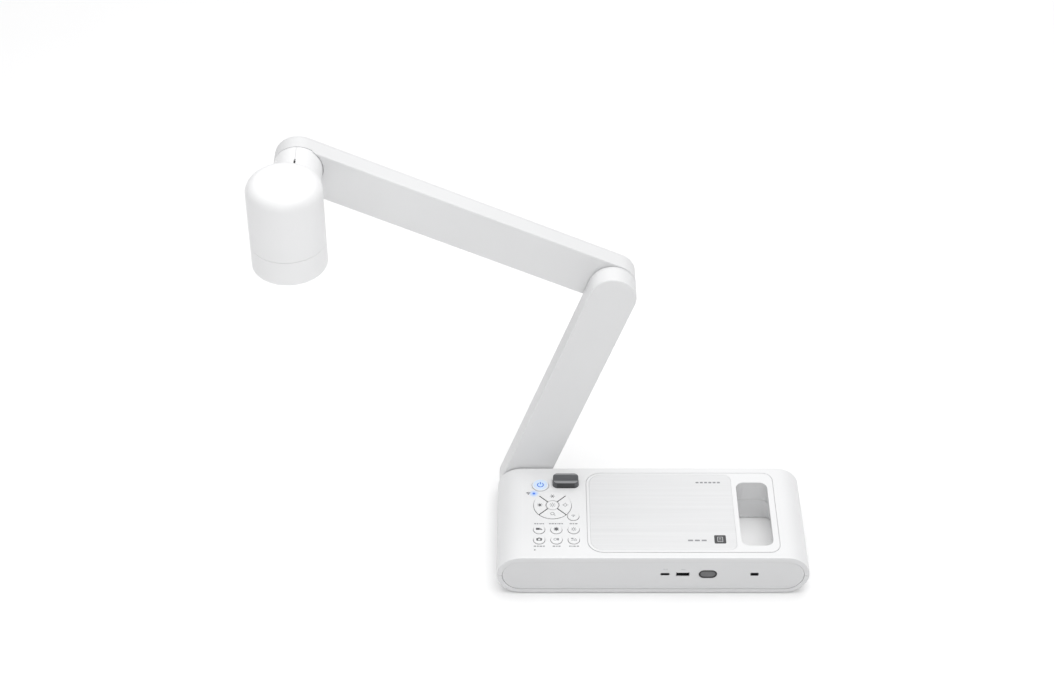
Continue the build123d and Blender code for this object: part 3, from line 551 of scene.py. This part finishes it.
ix0, ix1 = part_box("top_inlay")
sx0, sx1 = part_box("brushed_sheet")
sheet_z = sx1.z
OX, OY = 0.105, -0.022
decal("sheet_marks", marks_row(OX + 57.5 * mm, OY + 41.0 * mm, 24 * mm, 2.0 * mm, [1, 1, 1, 1, 1, 1], 0.42), sheet_z, M["ink_soft"], "base", thick=T)
decal("sheet_marks_lower", marks_row(OX + 42.5 * mm, OY - 39.0 * mm, 18 * mm, 2.0 * mm, [1.5, 1.5, 1.5], 0.5), sheet_z, M["ink_soft"], "base", thick=T)
bx, by = OX + 64.5 * mm, OY - 37.6 * mm
decal("badge_plate", [rrect(bx, by, 11.2 * mm, 11.2 * mm, 1.2 * mm)], sheet_z, M["badge"], "base", thick=0.00006)
decal("badge_symbol", [rrect(bx, by, 5.4 * mm, 6.6 * mm, 0.5 * mm), rrect(bx, by, 4.2 * mm, 5.4 * mm, 0.3 * mm), bar(bx - 1.0 * mm, by + 1.2 * mm, bx + 1.0 * mm, by + 1.2 * mm, 0.6 * mm), bar(bx - 1.0 * mm, by - 0.8 * mm, bx + 1.0 * mm, by - 0.8 * mm, 0.6 * mm)], sheet_z + 0.00006, M["ink_pale"], "base", thick=T)

# ------------------------------------------------------------------ front marks
fp0, fp1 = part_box("front_plate")
fy = fp0.y
cu0, cu1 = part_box("usb_c_port")
au0, au1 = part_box("usb_a_port")
pxc, pxa, pz = (cu0.x + cu1.x) / 2, (au0.x + au1.x) / 2, cu1.z + 5.0 * mm
decal("port_mark_screen", ring(pxc - 1.0 * mm, pz, 0.45 * mm, 0.8 * mm, 20) + [rrect(pxc + 1.3 * mm, pz, 1.9 * mm, 1.5 * mm, 0.2 * mm), rrect(pxc + 1.3 * mm, pz, 1.2 * mm, 0.8 * mm, 0.1 * mm)], fy, M["ink_pale"], "base", "-y", T)
decal("port_mark_memory", [rrect(pxa, pz, 3.4 * mm, 0.7 * mm, 0.2 * mm), rrect(pxa + 2.4 * mm, pz, 0.9 * mm, 0.45 * mm, 0.1 * mm)], fy, M["ink_pale"], "base", "-y", T)

# ------------------------------------------------------------------ lens end
lw0, lw1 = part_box("lens_window")
lens_c = ((lw0.x + lw1.x) / 2, (lw0.y + lw1.y) / 2)
lz = lw1.z
lathe("front_lens", [(0, 0), (3.0 * mm, 0.12 * mm), (6.0 * mm, 0.6 * mm), (8.4 * mm, 1.7 * mm), (8.4 * mm, 2.6 * mm), (0, 2.6 * mm)], (lens_c[0], lens_c[1], lz + 0.4 * mm), M["glass"], "head", 72)
lathe("lens_baffle", [(6.9 * mm, 3.1 * mm), (8.6 * mm, 2.7 * mm), (9.8 * mm, 0.5 * mm), (9.9 * mm, 0.5 * mm), (9.9 * mm, 4.0 * mm), (6.9 * mm, 4.0 * mm), (6.9 * mm, 3.1 * mm)], (lens_c[0], lens_c[1], lz), M["barrel_black"], "head", 72)
lf0, lf1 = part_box("lens_face_plate")
decal("lens_ring_mark", ring(lens_c[0], lens_c[1], 13.3 * mm, 13.75 * mm, 90), lf0.z, M["ink_pale"], "head", "-z", T)
lp0, lp1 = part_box("lamp_window")
lpx, lpy = (lp0.x + lp1.x) / 2, (lp0.y + lp1.y) / 2
decal("lamp_chips", [rrect(lpx + (i - 1.5) * 4.6 * mm, lpy, 2.6 * mm, 2.6 * mm, 0.3 * mm) for i in range(4)], lp1.z + 0.0005, M["led_phosphor"], "head", "-z", 0.0003)

# dark disc as painted shade just inside the pin hole beside the keys
decal("pin_hole_painted_shade", [circle(-8.6 * mm, -73.2 * mm, 0.8 * mm, 24)], zt - 0.5 * mm, M["dark_gap"], "base", thick=T)


# ------------------------------------------------------------------ rating label underneath
bl0, bl1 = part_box("base_lower_casing")
ux, uy = OX - 30 * mm, OY + 8 * mm
decal("rating_label", [rrect(ux, uy, 62 * mm, 34 * mm, 2.5 * mm)], bl0.z, M["label"], "base", "-z", 0.00008)
rows = []
for i in range(5):
    rows += marks_row(ux + (4 if i % 2 else 8) * mm - 8 * mm, uy + (12 - 5.4 * i) * mm, (42 - 5 * (i % 3)) * mm, 1.3 * mm, [3, 2, 4, 2.5, 3.5, 1.5], 0.6)
rows += [rrect(ux + 24.6 * mm, uy - 9 * mm, 8 * mm, 8 * mm, 1 * mm), rrect(ux + 24.6 * mm, uy - 9 * mm, 6.6 * mm, 6.6 * mm, 0.6 * mm)]
decal("rating_marks", rows, bl0.z - 0.00008, M["ink_soft"], "base", "-z", T)


# ------------------------------------------------------------------ stage
def floor_mesh():
    bm = bmesh.new()
    bmesh.ops.create_grid(bm, x_segments=8, y_segments=8, size=6.0)
    me = bpy.data.meshes.new("floor")
    bm.to_mesh(me)
    bm.free()
    o = bpy.data.objects.new("floor", me)
    bpy.context.scene.collection.objects.link(o)
    g = Graph("floor_paper")
    n = g.noise(3.0, 3.0)
    base = g.ramp(n, [(0.3, (0.93, 0.93, 0.93)), (0.7, (0.95, 0.95, 0.95))])
    g.bump(g.noise(300.0, 2.0), 0.05, 0.0001)
    o.data.materials.append(g.finish(base, g.rng(n, 0.85, 0.95), Specular_IOR_Level=0.1))
    return o


floor_mesh()
world = bpy.data.worlds.new("studio")
bpy.context.scene.world = world
world.use_nodes = True
wt = world.node_tree
wt.nodes.clear()
wo = wt.nodes.new("ShaderNodeOutputWorld")
bg = wt.nodes.new("ShaderNodeBackground")
tc = wt.nodes.new("ShaderNodeTexCoord")
sep = wt.nodes.new("ShaderNodeSeparateXYZ")
rp = wt.nodes.new("ShaderNodeValToRGB")
wt.links.new(tc.outputs["Generated"], sep.inputs[0])
wt.links.new(sep.outputs["Z"], rp.inputs["Fac"])
el = rp.color_ramp.elements
el[0].position, el[0].color = 0.0, (0.20, 0.20, 0.203, 1)
el[1].position, el[1].color = 1.0, (1.0, 1.0, 1.0, 1)
mid = el.new(0.45)
mid.color = (0.46, 0.46, 0.464, 1)
wt.links.new(rp.outputs["Color"], bg.inputs["Color"])
bg.inputs["Strength"].default_value = 1.05
wt.links.new(bg.outputs[0], wo.inputs["Surface"])


def area(name, loc, target, size, power):
    l = bpy.data.lights.new(name, "AREA")
    l.shape = "RECTANGLE"
    l.size, l.size_y = size
    l.energy = power
    o = bpy.data.objects.new(name, l)
    o.location = loc
    o.rotation_euler = (Vector(target) - Vector(loc)).to_track_quat("-Z", "Y").to_euler()
    bpy.context.scene.collection.objects.link(o)
    return o


area("overhead", (0.25, 0.05, 2.4), (0, 0, 0), (2.4, 2.0), 31.0)
area("front_fill", (-0.3, -3.0, 1.6), (-0.1, 0, 0.25), (2.4, 1.2), 16.0)

cam = bpy.data.cameras.new("camera")
cam.sensor_width = 36.0
cam.lens = 73.88
cam.clip_end = 50.0
co = bpy.data.objects.new("camera", cam)
co.location = (-0.1210 + OX, -1.5037 + OY, 1.5311)
co.rotation_euler = (R(49.69), 0, 0)
bpy.context.scene.collection.objects.link(co)
bpy.context.scene.camera = co
bpy.context.scene.view_settings.view_transform = "Standard"
